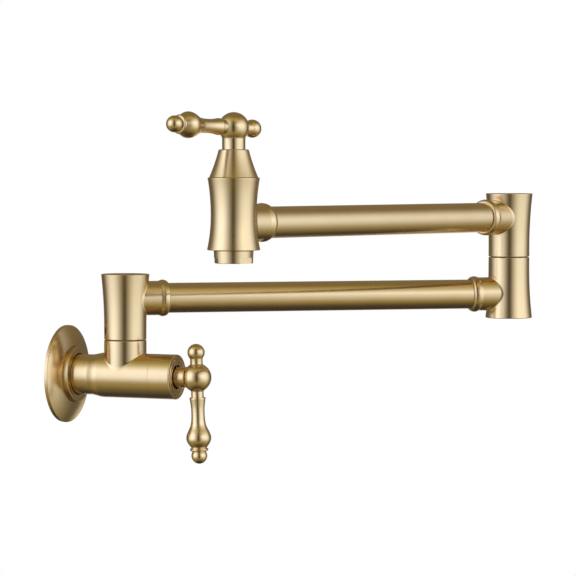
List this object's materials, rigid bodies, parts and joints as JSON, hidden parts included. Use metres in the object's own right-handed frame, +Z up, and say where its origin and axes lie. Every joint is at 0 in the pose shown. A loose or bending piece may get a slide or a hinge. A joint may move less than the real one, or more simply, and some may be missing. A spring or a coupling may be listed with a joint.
{
  "type": "wall mounted pot filler",
  "caption": "Wall-mounted cold tap on a folding double-swivel arm, with a quarter-turn lever valve at the wall and another over the outlet.",
  "frame": {"origin": "centre of the back of the wall flange, on the axis of the inlet", "axes": "+Z up, +Y into the wall along the inlet's axis, the tap stands out along -Y"},
  "size_m": [0.3064, 0.2601, 0.219],
  "materials": {
    "satin_gold": "satin brushed gold plating on brass",
    "raw_brass": "machined, unplated",
    "black_rubber": "moulded",
    "white_nylon": "moulded",
    "white_ceramic": "lapped alumina ceramic",
    "dark_steel": "plain stainless screw"
  },
  "bodies": {
    "wall_side": {"wall_flange": "satin_gold", "flange_seal_ring": "black_rubber", "valve_body": "satin_gold", "wall_bonnet": "satin_gold", "wall_seat_seal": "black_rubber", "wall_cartridge_shell": "raw_brass", "wall_fixed_disc": "white_ceramic", "wall_cartridge_nut": "raw_brass", "lower_pin": "raw_brass", "lower_pin_seal_1": "black_rubber", "lower_pin_seal_2": "black_rubber", "lower_slip_washer": "white_nylon"},
    "wall_handle": {"wall_moving_disc": "white_ceramic", "wall_stem": "raw_brass", "wall_stem_seal": "black_rubber", "wall_handle_hub": "satin_gold", "wall_lever": "satin_gold", "wall_finial": "satin_gold", "wall_handle_screw": "dark_steel"},
    "lower_arm": {"lower_post": "satin_gold", "lower_grub_screw": "dark_steel", "lower_arm_tube": "satin_gold", "elbow_foot": "satin_gold", "elbow_pin": "raw_brass", "elbow_pin_seal_1": "black_rubber", "elbow_pin_seal_2": "black_rubber", "elbow_slip_washer": "white_nylon"},
    "upper_arm": {"elbow_post": "satin_gold", "elbow_grub_screw": "dark_steel", "upper_arm_tube": "satin_gold", "outlet_body": "satin_gold", "outlet_bonnet": "satin_gold", "outlet_seat_seal": "black_rubber", "outlet_cartridge_shell": "raw_brass", "outlet_fixed_disc": "white_ceramic", "outlet_cartridge_nut": "raw_brass", "aerator_housing": "satin_gold", "aerator_insert": "white_nylon", "aerator_washer": "black_rubber"},
    "outlet_handle": {"outlet_moving_disc": "white_ceramic", "outlet_stem": "raw_brass", "outlet_stem_seal": "black_rubber", "outlet_handle_hub": "satin_gold", "outlet_lever": "satin_gold", "outlet_finial": "satin_gold", "outlet_handle_screw": "dark_steel"}
  },
  "joints": [
    {"name": "lower_arm_swivel", "type": "hinge", "parent": "wall_side", "child": "lower_arm", "pos_m": [0, -0.042, 0.02265], "axis": [0, 0, 1], "range_deg": [-128.3, 51.7]},
    {"name": "upper_arm_swivel", "type": "hinge", "parent": "lower_arm", "child": "upper_arm", "pos_m": [0.16021, -0.24486, 0.073], "axis": [0, 0, 1], "range_deg": [-210.2, 149.8]},
    {"name": "wall_handle_turn", "type": "hinge", "parent": "wall_side", "child": "wall_handle", "pos_m": [0, -0.0785, 0], "axis": [0, -1, 0], "range_deg": [0, 90]},
    {"name": "outlet_handle_turn", "type": "hinge", "parent": "upper_arm", "child": "outlet_handle", "pos_m": [-0.0803, -0.15012, 0.143], "axis": [0, 0, 1], "range_deg": [0, 90]}
  ]
}
